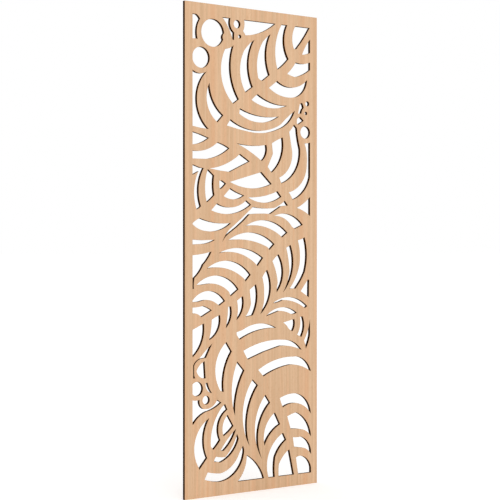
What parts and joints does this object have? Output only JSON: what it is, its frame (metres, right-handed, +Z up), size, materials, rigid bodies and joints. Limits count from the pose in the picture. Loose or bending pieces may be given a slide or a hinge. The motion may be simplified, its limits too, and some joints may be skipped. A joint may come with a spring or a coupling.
{
  "type": "fretwork wood panel",
  "caption": "Tall flat plywood screen panel, pierced all over with a palm-frond fretwork inside a plain border.",
  "frame": {"origin": "middle of the bottom edge, halfway through the sheet's thickness", "axes": "+X to the right across the width as seen from the front, +Y from the front face to the back face, +Z up"},
  "size_m": [0.4, 0.008, 1.17],
  "materials": {
    "face_veneer": "matt",
    "crossband": "laser-cut edge",
    "core": "laser-cut edge"
  },
  "bodies": {
    "root": {"front_face_veneer": "face_veneer", "front_crossband": "crossband", "core_ply": "core", "back_crossband": "crossband", "back_face_veneer": "face_veneer"}
  },
  "joints": []
}
